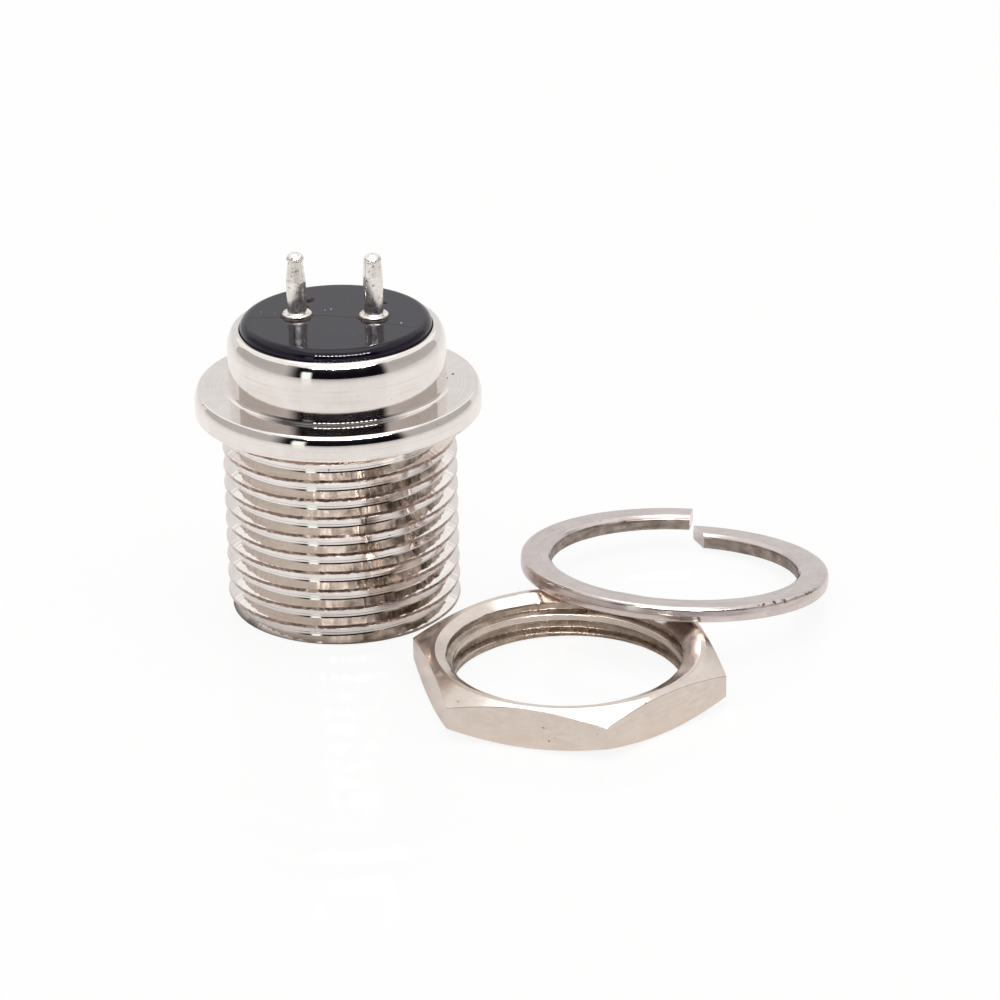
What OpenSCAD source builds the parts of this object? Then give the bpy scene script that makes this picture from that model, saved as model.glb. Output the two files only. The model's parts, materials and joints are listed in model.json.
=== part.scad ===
// Two-contact panel socket of a circular threaded connector, standing on its mouth,
// with its hexagon nut and split lock washer lying beside it.
// Millimetres. The origin is on the barrel's axis at the flange's underside, the face that meets the panel.
// +Z points to the solder side, and the two contacts stand along X.

/* [Thread] */
// Nominal diameter of the barrel's outside thread
thread_d = 12; // [11:0.1:13]
// Pitch of the thread
thread_pitch = 1; // [0.5:0.05:1.2]

/* [Shell] */
// Length of the barrel from the flange's underside to the mouth
barrel_length = 10.65; // [10:0.05:14]
// Bevel at the mouth's outer edge
lead_in = 0.2; // [0.1:0.05:0.4]
// Diameter of the flange
flange_d = 14.6; // [14:0.1:17]
// Thickness of the flange
flange_t = 1.3; // [1:0.05:2]
// Width of the rounding at the flange's rim
rim_w = 0.25; // [0.15:0.01:0.4]
// Height of the rounding at the flange's rim
rim_h = 0.6; // [0.45:0.05:0.9]
// Small rounding where the rim meets the flange's top
rim_edge = 0.1; // [0.05:0.01:0.14]
// Bevel of the flange's lower edge
flange_bevel = 0.1; // [0.05:0.05:0.3]
// Diameter of the rear ring
ring_d = 11.1; // [10.9:0.1:12.5]
// Height of the rear ring above the flange
ring_height = 3.13; // [2.8:0.01:5]
// Fillet between the rear ring and the flange
ring_fillet = 0.2; // [0.1:0.05:0.5]
// Width of the rolled lip's rounding
lip_w = 0.5; // [0.4:0.01:0.6]
// Height of the rolled lip's rounding
lip_h = 1; // [0.7:0.05:1.6]
// Small rounding at the rolled lip's top
lip_edge = 0.32; // [0.2:0.02:0.38]
// Height of the rolled lip above the insulator's shoulder
lip_height = 0.7; // [0.5:0.05:1]
// Diameter of the socket bore inside the barrel
socket_d = 9.4; // [9:0.1:9.6]
// Bevel at the mouth's inner edge
mouth_bevel = 0.3; // [0.1:0.05:0.5]
// Width of the key rib in the socket
key_w = 1.6; // [1:0.1:2.4]
// Height of the key rib above the bore's wall
key_h = 0.7; // [0.4:0.05:1]
// Distance of the key rib from the mouth
key_setback = 1; // [0.5:0.1:3]

/* [Insulator] */
// Diameter of the disc seen inside the lip
insert_d = 9.74; // [9.6:0.01:9.85]
// Diameter of the shoulder held under the lip
shoulder_d = 10; // [9.95:0.01:10.2]
// Thickness of the shoulder
shoulder_t = 2.6; // [1.5:0.1:2.8]
// Height of the disc's face above the lip
face_rise = 0.49; // [0.2:0.01:0.8]
// Rounding of the disc's edge
face_round = 0.45; // [0.1:0.05:0.6]
// Depth of the socket from the mouth to the insulator's front
socket_depth = 9; // [7:0.1:9.5]

/* [Contacts] */
// Distance between the two contacts
contact_spacing = 3.9; // [3:0.1:5]
// Diameter of the solder tail
tail_d = 1; // [0.7:0.05:1.1]
// Diameter of the tail's domed tip
tip_d = 0.88; // [0.5:0.02:1]
// Length of the tail above the insulator
tail_length = 3.4; // [2.5:0.1:6]
// Length of the taper below the domed tip
tip_taper = 0.7; // [0.3:0.1:1.2]
// Diameter of the collar on the insulator's face
collar_d = 1.5; // [1.4:0.05:2]
// Thickness of the collar
collar_t = 0.24; // [0.1:0.02:0.5]
// Diameter of the contact where it passes through the insulator
body_d = 1.4; // [1.3:0.02:1.46]
// Diameter of the mating pin
pin_d = 1; // [0.6:0.05:1.1]
// Distance of the mating pin's tip from the mouth
pin_setback = 4.3; // [1:0.1:6]

/* [Nut] */
// Width of the nut across its flats
nut_af = 14; // [13.8:0.1:17]
// Thickness of the nut
nut_t = 2.25; // [1.6:0.05:3]
// Diameter of the circle where the corner bevels meet the nut's faces
nut_face_d = 13.6; // [13.5:0.1:14.2]
// Slope of the corner bevels
nut_bevel_angle = 24; // [15:1:35]
// Depth of the nut's inside thread as a share of the pitch, with its crests cut low
nut_thread_share = 0.3; // [0.2:0.02:0.54]
// Outer diameter of the upper countersink
sink_d = 13.1; // [12.4:0.1:13.4]
// Outer diameter of the lower countersink
under_sink_d = 11.8; // [11.7:0.1:13.1]
// Slope of the countersinks from the nut's faces
sink_angle = 26; // [20:1:35]
// Place of the nut's centre along X
nut_x = 12.25; // [11.5:0.05:16]
// Place of the nut's centre along Y
nut_y = -10.15; // [-14:0.05:-9.5]
// Turn of the nut about its own axis
nut_turn = -13; // [-30:1:30]

/* [Lock washer] */
// Inner diameter of the washer
washer_bore = 12.72; // [12.3:0.02:13.4]
// Width of the washer's section
washer_w = 1.58; // [1.2:0.02:2]
// Thickness of the washer's section
washer_t = 0.79; // [0.6:0.01:1.2]
// Bevel of the section's edges
washer_bevel = 0.1; // [0.04:0.01:0.2]
// Height that the helix gains in one turn
washer_rise = 0.93; // [0.7:0.01:1.6]
// Width of the split at the washer's outside
split_outer = 0.06; // [0.04:0.02:1]
// Width of the split at the washer's bore
split_inner = 0.82; // [0.2:0.02:1.5]
// Direction of the cut at the washer's high end, from X
split_heading = 85; // [60:1:110]
// Place of the washer's centre along X
washer_x = 17.1; // [16:0.05:19]
// Place of the washer's centre along Y
washer_y = 0.2; // [-1:0.05:2]

/* [Clearances] */
// Gap between the insulator and the shell's bores
insert_gap = 0.03; // [0.01:0.01:0.06]
// Gap between a contact and its hole
contact_gap = 0.02; // [0.01:0.01:0.05]
// Gap under the lip, and where the washer rests
seat_gap = 0.02; // [0.01:0.01:0.05]

/* [Hidden] */

nickel = [0.86, 0.84, 0.82];
black = [0.10, 0.10, 0.11];
tin = [0.90, 0.89, 0.88];
steel = [0.80, 0.78, 0.78];

// Facets round a true circle, and steps along the washer's helix
$fn = 96;
washer_steps = 90;
// Cuts run this far past the faces that they open
past = 1;
full_turn = 360;

// Heights along the barrel's axis
floor_z = -barrel_length;
lip_top = flange_t + ring_height;
lip_bottom = lip_top - lip_height;
ledge_z = lip_bottom - seat_gap - shoulder_t;
face_z = lip_top + face_rise;
insert_front = floor_z + socket_depth;

// The nut's hole is at its thread's crests
nut_bore_r = thread_d / 2 - nut_thread_share * thread_pitch;
sink_depth = (sink_d / 2 - nut_bore_r) * tan(sink_angle);
under_sink_depth = (under_sink_d / 2 - nut_bore_r) * tan(sink_angle);
nut_corner_r = nut_af / 2 / cos(30);
nut_bevel_drop = (nut_corner_r - nut_face_d / 2) * tan(nut_bevel_angle);

// A quarter of a square's corner outside its inscribed arc, cut off to round an outer edge at (r, z)
module outer_round(r, z, size) {
    translate([r - size, z - size])
        difference() {
            square(size + past);
            circle(size);
        }
}

// What is cut off an outer edge at (r, z) to leave two arcs that run into each other: a large one up
// from the wall and a small one over to the top, together as wide and high as given
module rolled_edge(r, z, width, height, small) {
    sweep = 2 * atan((width - small) / (height - small));
    large = small + (height - small) / sin(sweep);
    reach = large + past;
    difference() {
        translate([r - width, z - height])
            square([width + past, height + past]);
        translate([r - large, z - height])
            intersection() {
                circle(large);
                polygon([[0, 0], [reach, 0], [reach, reach * tan(sweep)]]);
            }
        translate([r - width, z - small])
            circle(small);
    }
}

// Material that fills an inner corner at (r, z) with an arc
module inner_fillet(r, z, size) {
    translate([r, z])
        difference() {
            square(size);
            translate([size, size])
                circle(size);
        }
}

// Half section of the shell's outside
module shell_outside() {
    difference() {
        union() {
            polygon([
                [0, floor_z],
                [thread_d / 2 - lead_in, floor_z],
                [thread_d / 2, floor_z + lead_in],
                [thread_d / 2, 0],
                [flange_d / 2 - flange_bevel, 0],
                [flange_d / 2, flange_bevel],
                [flange_d / 2, flange_t],
                [ring_d / 2, flange_t],
                [ring_d / 2, lip_top],
                [0, lip_top]
            ]);
            inner_fillet(ring_d / 2, flange_t, ring_fillet);
        }
        rolled_edge(flange_d / 2, flange_t, rim_w, rim_h, rim_edge);
        rolled_edge(ring_d / 2, lip_top, lip_w, lip_h, lip_edge);
    }
}

// Half section of the space inside the shell: mouth, socket bore, ledge for the insulator and rolled lip
module shell_inside() {
    polygon([
        [0, floor_z - past],
        [socket_d / 2 + mouth_bevel + past, floor_z - past],
        [socket_d / 2, floor_z + mouth_bevel],
        [socket_d / 2, ledge_z],
        [shoulder_d / 2 + insert_gap, ledge_z],
        [shoulder_d / 2 + insert_gap, lip_bottom],
        [insert_d / 2 + insert_gap, lip_bottom],
        [insert_d / 2 + insert_gap, lip_top + past],
        [0, lip_top + past]
    ]);
}

// A straight bar along the back of the socket bore, from height low to the insulator's ledge
module key_bar(width, height, low) {
    translate([-width / 2, socket_d / 2 - height, low])
        cube([width, height + insert_gap, ledge_z - low]);
}

module shell() {
    color(nickel) {
        rotate_extrude()
            difference() {
                shell_outside();
                shell_inside();
            }
        key_bar(key_w, key_h, floor_z + key_setback);
    }
}

module insulator() {
    color(black)
        difference() {
            rotate_extrude()
                difference() {
                    polygon([
                        [0, insert_front],
                        [socket_d / 2 - insert_gap, insert_front],
                        [socket_d / 2 - insert_gap, ledge_z],
                        [shoulder_d / 2, ledge_z],
                        [shoulder_d / 2, ledge_z + shoulder_t],
                        [insert_d / 2, ledge_z + shoulder_t],
                        [insert_d / 2, face_z],
                        [0, face_z]
                    ]);
                    outer_round(insert_d / 2, face_z, face_round);
                }
            translate([0, 0, insert_gap])
                key_bar(key_w + 2 * insert_gap, key_h + insert_gap, insert_front - past);
            for (side = [-1, 1])
                translate([side * contact_spacing / 2, 0, insert_front - past])
                    cylinder(d = body_d + 2 * contact_gap, h = face_z - insert_front + 2 * past);
        }
}

// Half section of a contact: mating pin, body in the insulator, collar, solder tail with a domed tip
module contact_section() {
    pin_tip = floor_z + pin_setback;
    tail_top = face_z + tail_length;
    difference() {
        union() {
            translate([0, pin_tip + pin_d / 2])
                square([pin_d / 2, insert_front - pin_tip - pin_d / 2]);
            translate([0, pin_tip + pin_d / 2])
                circle(d = pin_d);
            translate([0, insert_front])
                square([body_d / 2, face_z - insert_front]);
            translate([0, face_z])
                square([collar_d / 2, collar_t]);
            polygon([
                [0, face_z],
                [tail_d / 2, face_z],
                [tail_d / 2, tail_top - tip_d / 2 - tip_taper],
                [tip_d / 2, tail_top - tip_d / 2],
                [0, tail_top - tip_d / 2]
            ]);
            translate([0, tail_top - tip_d / 2])
                circle(d = tip_d);
        }
        translate([-past - collar_d, floor_z])
            square([past + collar_d, tail_top - floor_z + past]);
    }
}

module contact(side) {
    color(tin)
        translate([side * contact_spacing / 2, 0, 0])
            rotate_extrude()
                contact_section();
}

module contact_left() {
    contact(-1);
}

module contact_right() {
    contact(1);
}

// Half section of the hexagon's blank: its bevels take the corners off and just touch the flats
module nut_blank() {
    polygon([
        [0, 0],
        [nut_face_d / 2, 0],
        [nut_corner_r, nut_bevel_drop],
        [nut_corner_r + past, nut_bevel_drop + past * tan(nut_bevel_angle)],
        [nut_corner_r + past, nut_t - nut_bevel_drop - past * tan(nut_bevel_angle)],
        [nut_corner_r, nut_t - nut_bevel_drop],
        [nut_face_d / 2, nut_t],
        [0, nut_t]
    ]);
}

// Half section of the nut's hole, countersunk at both faces
module nut_hole() {
    polygon([
        [0, -past],
        [under_sink_d / 2 + past / tan(sink_angle), -past],
        [nut_bore_r, under_sink_depth],
        [nut_bore_r, nut_t - sink_depth],
        [sink_d / 2 + past / tan(sink_angle), nut_t + past],
        [0, nut_t + past]
    ]);
}

module mounting_nut() {
    color(nickel)
        translate([nut_x, nut_y, floor_z])
            difference() {
                intersection() {
                    rotate(nut_turn)
                        cylinder(r = nut_corner_r, h = nut_t, $fn = 6);
                    rotate_extrude()
                        nut_blank();
                }
                rotate_extrude()
                    nut_hole();
            }
}

// Radii and levels of the washer's section, going round it from the bore's lower edge
washer_r_in = washer_bore / 2;
washer_r_out = washer_r_in + washer_w;
washer_section = [
    [washer_r_in + washer_bevel, -washer_t / 2],
    [washer_r_out - washer_bevel, -washer_t / 2],
    [washer_r_out, -washer_t / 2 + washer_bevel],
    [washer_r_out, washer_t / 2 - washer_bevel],
    [washer_r_out - washer_bevel, washer_t / 2],
    [washer_r_in + washer_bevel, washer_t / 2],
    [washer_r_in, washer_t / 2 - washer_bevel],
    [washer_r_in, -washer_t / 2 + washer_bevel]
];

// The split's width at radius r, as an angle: the high end is cut square, and the low end at a slant
function split_angle(r) =
    let (width = split_inner + (split_outer - split_inner) * (r - washer_r_in) / washer_w)
    asin(width / r);

// A point of the washer before it is laid down: share runs from 0 at the low end to 1 at the high end,
// clockwise from the split, which is a left-hand helix
function washer_point(r, level, share) =
    let (gap = split_angle(r), a = split_heading - gap - share * (full_turn - gap))
    [r * cos(a), r * sin(a), level + washer_rise * (share - 0.5)];

// The same for the underside at a direction from the washer's centre
function washer_underside(r, heading) =
    let (gap = split_angle(r), turn = (split_heading - gap - heading + 2 * full_turn) % full_turn)
    washer_point(r, -washer_t / 2, turn / (full_turn - gap));

// The washer rests on three points: its low end on the floor, and its bore's lower edge at the two places
// where that crosses the rim of the nut's upper face
rest_r = washer_r_in + washer_bevel;
to_nut = [nut_x - washer_x, nut_y - washer_y];
nut_heading = atan2(to_nut[1], to_nut[0]);
cross_angle = acos((to_nut * to_nut + rest_r * rest_r - nut_face_d * nut_face_d / 4) / (2 * norm(to_nut) * rest_r));
low_end = washer_point(washer_r_out - washer_bevel, -washer_t / 2, 0);
left_rest = washer_underside(rest_r, nut_heading - cross_angle);
right_rest = washer_underside(rest_r, nut_heading + cross_angle);

// The direction that points up, seen from the washer: both rests stand nut_t above the low end
left_span = left_rest - low_end;
right_span = right_rest - low_end;
across = cross(left_span, right_span);
lean = nut_t * cross(right_span - left_span, across) / (across * across);
up = lean + across / norm(across) * sqrt(1 - lean * lean);
level_x = ([1, 0, 0] - up[0] * up) / norm([1, 0, 0] - up[0] * up);
level_y = cross(up, level_x);
washer_z = floor_z + seat_gap - up * low_end;

function laid_down(p) = [washer_x + level_x * p, washer_y + level_y * p, washer_z + up * p];

module lock_washer() {
    sides = len(washer_section);
    points = [
        for (i = [0:washer_steps])
            for (corner = washer_section)
                laid_down(washer_point(corner[0], corner[1], i / washer_steps))
    ];
    walls = [
        for (i = [0:washer_steps - 1])
            for (j = [0:sides - 1])
                let (a = i * sides + j, b = i * sides + (j + 1) % sides)
                each [[a, b, b + sides], [a, b + sides, a + sides]]
    ];
    low_cap = [for (j = [0:sides - 1]) sides - 1 - j];
    high_cap = [for (j = [0:sides - 1]) washer_steps * sides + j];
    color(steel)
        polyhedron(points, concat(walls, [low_cap, high_cap]));
}

shell();
insulator();
contact_left();
contact_right();
mounting_nut();
lock_washer();
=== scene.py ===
"""Looks of a round panel socket with its nut and lock washer: fine meshes, finishes, light and camera.

Lengths are millimetres in the part's own frame until a mesh is made, and headings are degrees.
"""
import json
import math

import bmesh
import bpy
import numpy as np
from mathutils import Matrix, Vector, noise


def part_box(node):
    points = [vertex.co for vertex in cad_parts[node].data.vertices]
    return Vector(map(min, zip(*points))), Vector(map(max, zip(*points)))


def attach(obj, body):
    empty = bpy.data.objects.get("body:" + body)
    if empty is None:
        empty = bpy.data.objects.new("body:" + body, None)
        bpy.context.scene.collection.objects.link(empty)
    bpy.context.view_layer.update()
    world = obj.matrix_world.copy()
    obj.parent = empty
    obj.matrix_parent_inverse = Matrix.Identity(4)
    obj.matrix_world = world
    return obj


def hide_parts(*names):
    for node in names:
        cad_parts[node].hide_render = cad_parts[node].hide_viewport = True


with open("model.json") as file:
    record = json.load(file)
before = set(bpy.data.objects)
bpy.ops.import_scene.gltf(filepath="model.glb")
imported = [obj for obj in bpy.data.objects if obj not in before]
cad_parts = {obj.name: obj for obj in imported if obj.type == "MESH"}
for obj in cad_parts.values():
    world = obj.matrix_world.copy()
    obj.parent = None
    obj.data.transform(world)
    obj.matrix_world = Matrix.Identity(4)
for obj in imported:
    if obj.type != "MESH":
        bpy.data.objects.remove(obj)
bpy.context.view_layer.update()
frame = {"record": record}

MM = 0.001
TURN = 2 * math.pi
BODY = "root"
NEAR = 1e-6
TINY = 1e-9
SMOOTH_ANGLE = 32
mounts = {row["name"]: row for row in frame["record"]["mounts"]}


def box_mm(node):
    """Lowest and highest corner of a CAD node, in millimetres."""
    low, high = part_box(node)
    return np.array(low) / MM, np.array(high) / MM


# Camera, at the place and angle that the photo was taken from
CAMERA_PLACE = np.array([24.787, -196.333, 81.905])
CAMERA_FORWARD = Vector((-0.07719, 0.91159, -0.40380))
CAMERA_ROLL = math.radians(-1.024)
CAMERA_LENS = 151.2
CAMERA_SENSOR = 36
CAMERA_HEADING = math.degrees(math.atan2(CAMERA_PLACE[1], CAMERA_PLACE[0]))

# Shell
shell_low, shell_high = box_mm("shell")
FLOOR_Z = shell_low[2]
FLANGE_R = shell_high[0]
LIP_TOP = shell_high[2]
CREST_R = mounts["threaded_barrel"]["dims"]["r_mm"]
FLANGE_T = 1.3
FLANGE_BEVEL = 0.1
RIM_W = 0.25
RIM_H = 0.6
RIM_EDGE = 0.1
RING_R = 5.55
RING_FILLET = 0.2
LIP_W = 0.5
LIP_H = 1.0
LIP_EDGE = 0.32
LIP_HEIGHT = 0.7
LIP_INNER_ROUND = 0.05
LIP_FLAT = 0.02
LIP_BORE_R = 4.9
POCKET_R = 5.03
LEDGE_Z = 1.11
SOCKET_R = 4.7
MOUTH_BEVEL = 0.3
LEAD_IN_R = 5.8
KEY_W = 1.6
KEY_H = 0.7
KEY_SETBACK = 1.0
KEY_STEP = 0.02
KEY_HEADING = 90.0
SHELL_COLUMNS = 400
SHELL_SMOOTH_ANGLE = 12

# Thread: its pitch and start are the barrel's and the nut's, and the rest is the barrel's
PITCH = 1.0
THREAD_DEPTH = 0.46
# Steps up one pitch from a crest, and heights above the root: crest flat, worn crest edge, upper flank,
# root facet, root flat, lower flank and crest edge
BARREL_PROFILE = np.array([
    (0, THREAD_DEPTH),
    (0.015, THREAD_DEPTH),
    (0.14, THREAD_DEPTH - 0.045),
    (0.368, 0.032),
    (0.44, 0.006),
    (0.53, 0.006),
    (0.547, 0),
    (0.735, 0),
    (0.985, THREAD_DEPTH - 0.01),
    (1, THREAD_DEPTH),
])
# Number of each step's finish in make_shell's materials: bright upper flank is 0, worn crest with painted
# shade is 1, root is 2 and lower flank darkened as painted shade is 3
STEP_FINISH = (1, 1, 0, 2, 2, 2, 2, 3, 1)
# Finish of the corner above the flange, which carries painted shade
FILLET_FINISH = 4
FULL_THREAD = 0.99
WORN_RAG = 0.06
CREST_SHARPNESS = 6
SPARE_TURNS = 2
CREST_Z_AT_FRONT = -1.65
FRONT_HEADING = -85.0
RELIEF_Z = -0.35
RELIEF_BLEND = 0.3
BURR_DEPTH = 0.006
BURR_SIZE = 0.17

# Insulator
insert_low, insert_high = box_mm("insulator")
FACE_Z = insert_high[2]
INSERT_FRONT = insert_low[2]
SHOULDER_R = insert_high[0]
INSERT_R = 4.87
SHOULDER_TOP = 3.71
FACE_ROUND = 0.45
NOSE_ROUND = 0.1
SHELL_GAP = 0.03
LEDGE_MARGIN = 0.01

# Contacts
TAIL_R = mounts["solder_tail_left"]["dims"]["r_mm"]
PIN_R = mounts["mating_pin_left"]["dims"]["r_mm"]
TIP_R = 0.455
TIP_H = 0.33
COLLAR_R = 0.75
COLLAR_T = 0.24
CONTACT_R = 0.7
HOLE_GAP = 0.02
HOLE_OVERSHOOT = 1
PIN_ROOT_ROUND = 0.02
CONTACT_ROUND = 0.03
COLLAR_FOOT_ROUND = 0.11
COLLAR_TOP_ROUND = 0.12
TAIL_FOOT_ROUND = 0.05
TAPER_ROUND = 0.5
NECK_DROP = 0.07
HEAD_DROP = 0.03
HEAD_ROUND = 0.03
DENT_SIZE = 0.35
DENT_SHARE = 0.012

# Nut
nut_low, nut_high = box_mm("mounting_nut")
NUT_CENTRE = np.array(mounts["nut_thread"]["pos_m"])[:2] / MM
NUT_T = nut_high[2] - nut_low[2]
NUT_BORE_R = mounts["nut_thread"]["dims"]["r_mm"]
NUT_FLAT_R = 7.0
NUT_FACE_R = 6.8
NUT_BEVEL = math.tan(math.radians(24))
NUT_LEAST_DROP = 0.002
NUT_CORNER_ROUND = 0.1
NUT_CORNER_COLUMNS = (-0.8, -0.5, -0.3, -0.15, 0, 0.15, 0.3, 0.5, 0.8)
NUT_EDGE = 0.05
NUT_TURN = -13.0
SINK_R = 6.55
UNDER_SINK_R = 5.9
SINK_SLOPE = math.tan(math.radians(26))
NUT_THREAD_R = 6.02
NUT_FLANK_ANGLE = 30
NUT_CREST_FLAT = 0.3
NUT_CREST_ROUND = 0.05
NUT_ROOT_FILLET = 0.04
NUT_PHASE = 0.631
NUT_BRIGHT_SHARE = 0.9
NUT_SHADE_H = 0.4
NUT_ROW_STEP = 0.06
NUT_COLUMNS = 360

# Lock washer: a left-hand helix cut square at its high end and at a slant at its low end
WASHER_CENTRE = np.array([17.1, 0.2])
WASHER_BORE_R = 6.36
WASHER_W = 1.58
WASHER_T = 0.79
WASHER_EDGE = 0.1
WASHER_BEVEL = 0.2
WASHER_BEVEL_ROUND = 0.14
WASHER_UNDER_INSET = 0.04
WASHER_UNDER_ROUND = 0.15
WASHER_BELLY_DROP = 0.06
WASHER_BELLY_ROUND = 0.4
WASHER_TOP_INSET = 0.03
WASHER_TOP_ROUND = 0.2
WASHER_STEPS = 420
WASHER_RISE = 0.93
SPLIT_OUTER = 0.06
SPLIT_INNER = 0.82
SPLIT_HEADING = 85.0
SEAT_GAP = 0.02
CHIP_REACH = 0.14
CHIP_MIDDLE = 0.33
CHIP_SPREAD = 0.08
CHIP_EASE = 1.4
CHIP_SIZE = 0.4
CHIP_LEVEL = 0.2
FINE_CHIP_SHARE = 0.6
FINE_CHIP_SIZE = 0.16
FINE_CHIP_LEVEL = 0.25
CHIP_ELSEWHERE = 0.25
CHIP_IN = 0.14
CHIP_DOWN = 0.12
RUST_LEVEL = 0.06
BORE_SHADE_FINISH = 1
RUSTY_FINISH = 2

# Dirt: crumbs are at (x, y, z, size)
DUST = [
    (-3.853, 0.481, FACE_Z, 0.06),
    (-3.125, 0.368, FACE_Z, 0.045),
    (-0.637, 0.874, FACE_Z, 0.09),
    (-0.332, 0.985, FACE_Z, 0.11),
    (3.398, -0.785, FACE_Z, 0.12),
    (1.2, -2.4, FACE_Z, 0.03),
    (-1.0, -1.9, FACE_Z, 0.03),
    (0.4, 2.1, FACE_Z, 0.03),
]
BLACK_CRUMBS = [
    (-1.55, 2.15, FACE_Z, 0.46),
    (-1.47, 2.42, FACE_Z, 0.26),
    (-1.62, 1.2, FACE_Z, 0.34),
    (2.33, 1.96, FACE_Z, 0.24),
    (2.36, 1.05, FACE_Z, 0.2),
]
BROWN_SPECKS = [
    (5.752, 1.408, FLANGE_T, 0.17),
    (4.806, -3.797, FLANGE_T, 0.06),
    (-6.457, -3.181, FLANGE_T, 0.1),
    (5.3, -1.63, 2.3, 0.07),
]
CRUMB_SHAPE = np.array([1.0, 0.7, 0.35])
CRUMB_UNEVEN = 0.45
CRUMB_LUMP = 0.9
CRUMB_SEED_STEP = 3.7
DIRT_SMOOTH_ANGLE = 60
DIRT_SHADE = 0.7
DIRT_ROUGHNESS = 0.8
RESIDUE_W = 0.05
RESIDUE_H = 0.05
RESIDUE_RAG = 0.14
RESIDUE_LUMP = 0.35
SEAM_PATHS = [
    [(-4.38, -0.37), (-2.7, -0.173)],
    [(-1.15, 0.09), (0.067, 0.063), (1.159, -0.175)],
    [(2.72, -0.83), (3.4, -1.1), (4.15, -1.38)],
]
SEAM_W = 0.035
SEAM_WAVE = 0.03
SEAM_WAVE_SIZE = 0.5
SEAM_POINTS = 12
SEAM_LIFT = 0.003

# Painted shade on the shell's plate, round a heading: brown on the thread's lower flanks, on its crests with
# their worn plate, and dark in the corner above the flange; and painted shade at the barrel's foot, by height
FLANK_SHADE = {
    "colour": (0.12, 0.095, 0.07), "heading": -52, "spread": 40, "size": 1.1, "levels": (0.36, 0.62),
}
CREST_WEAR_AND_SHADE = {
    "colour": (0.40, 0.275, 0.225), "heading": -80, "spread": 80, "size": 0.3, "levels": (0.22, 0.50),
}
CORNER_SHADE = {
    "colour": (0.10, 0.092, 0.09), "heading": -87, "spread": 42, "size": 1.0, "levels": (0.05, 0.2),
}
FOOT_SHADE = {"colour": (0.22, 0.175, 0.15), "heights": (FLOOR_Z + 0.05, FLOOR_Z + 0.32)}
HEADING_MASK_CORE = 0.6

# Finishes
NICKEL = (0.91, 0.86, 0.825)
NICKEL_STAIN = (0.85, 0.785, 0.74)
PLASTIC = (0.0045, 0.001, 0.009)
PLASTIC_CLOUD = (0.009, 0.0055, 0.016)
PLASTIC_IOR = 1.37
PLASTIC_RIPPLE = 0.05
SPECK_FADE = 0.03
BUMP_HEIGHT = 0.02

# Light: levels of the surroundings and the floor
AMBIENT = 0.96
FLOOR_REACH = 560
FLOOR_WHITE = 0.9
FLOOR_IN_METAL = 0.3
FLOOR_GLOSS = 0.06
FLOOR_IOR = 1.8
FLOOR_COLOUR = (0.95, 0.93, 0.915)
SHADOW_REACH = 5
SHADOW_POWER = 2.0
SHADOW_SAMPLES = 4

# Studio cards: distances, then elevations and headings to the right of the camera's in degrees, then colours
TENT = 600
STRIP_AHEAD = 15
CARD_FOOT = -2
DARK_TOP = 33
SIDE_TOP = 30
BACK_TOP = 24.5
STRIP_TOP = 19
LAMP_TOP = 38
LEFT_EDGE = -58
LEFT_FADE = -40
RIGHT_EDGE = 56
RIGHT_FADE = 46
BACK_EDGE = 128
STRIP_HEADINGS = (-37, -27)
LAMP_START = -28
LAMP_END = 43
LAMP_STEP = 5.2
LAMP_W = 2.4
WHITE = (1, 1, 1)
DARK = (0.006, 0.004, 0.007)
SIDE_GREY = (0.50, 0.485, 0.475)
STRIP_COLOUR = (0.90, 1.0, 0.93)


def joined(runs, hold=0.02, most=0.2):
    """Runs of points as one outline, with a support point near each end of the straight between two runs.

    The support points lie at the hold's distance from the ends, and at most at a share of the straight.
    """
    outline = [runs[0]]
    for before, after in zip(runs, runs[1:]):
        span = after[0] - before[-1]
        step = span * min(hold / max(np.linalg.norm(span), TINY), most)
        outline.append(np.array([before[-1] + step, after[0] - step]))
        outline.append(after)
    return np.concatenate(outline)


def rounded(corners, steps=5, most=0.48):
    """An open outline of (x, y, radius) corners, with an arc of steps + 1 points at each rounded one.

    An arc takes up at most a share of the shorter straight beside it.
    """
    places = [np.array(c[:2], float) for c in corners]
    runs = []
    for i, corner in enumerate(corners):
        here = places[i]
        radius = corner[2] if len(corner) > 2 else 0
        if radius == 0 or i in (0, len(corners) - 1):
            runs.append(here[None, :])
            continue
        back = places[i - 1] - here
        ahead = places[i + 1] - here
        reach = min(np.linalg.norm(back), np.linalg.norm(ahead))
        back = back / max(np.linalg.norm(back), TINY)
        ahead = ahead / max(np.linalg.norm(ahead), TINY)
        half = math.acos(float(np.clip(back @ ahead, -1, 1))) / 2
        radius = min(radius, most * reach * math.tan(half))
        middle = back + ahead
        centre = here + middle / np.linalg.norm(middle) * radius / math.sin(half)
        start = here + back * radius / math.tan(half) - centre
        end = here + ahead * radius / math.tan(half) - centre
        sweep = math.pi - 2 * half
        shares = np.arange(steps + 1) / steps
        weights = np.sin((1 - shares) * sweep), np.sin(shares * sweep)
        turn = weights[0][:, None] * start + weights[1][:, None] * end
        runs.append(centre + turn / math.sin(sweep))
    return joined(runs)


def arc(centre, size, start, end, steps):
    """Points of an elliptic arc about a centre, between two angles in degrees."""
    angles = np.radians(np.linspace(start, end, steps + 1))
    return np.stack([centre[0] + size[0] * np.cos(angles), centre[1] + size[1] * np.sin(angles)], axis=-1)


def rolled_edge(r, z, width, height, small):
    """An outer edge at (r, z) of two arcs: a large one up from the wall and a small one over to the top."""
    sweep = 2 * math.atan((width - small) / (height - small))
    large = small + (height - small) / math.sin(sweep)
    turn = math.degrees(sweep)
    up = arc((r - large, z - height), (large, large), 0, turn, steps=12)
    over = arc((r - width, z - small), (small, small), turn, 90, steps=12)
    return np.concatenate([up, over[1:]])


def polar(r, z, headings):
    """Points at radii r and heights z, of shape (rows, columns), along the given headings in radians."""
    return np.stack([r * np.cos(headings), r * np.sin(headings), z + 0 * r], axis=-1)


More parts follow.
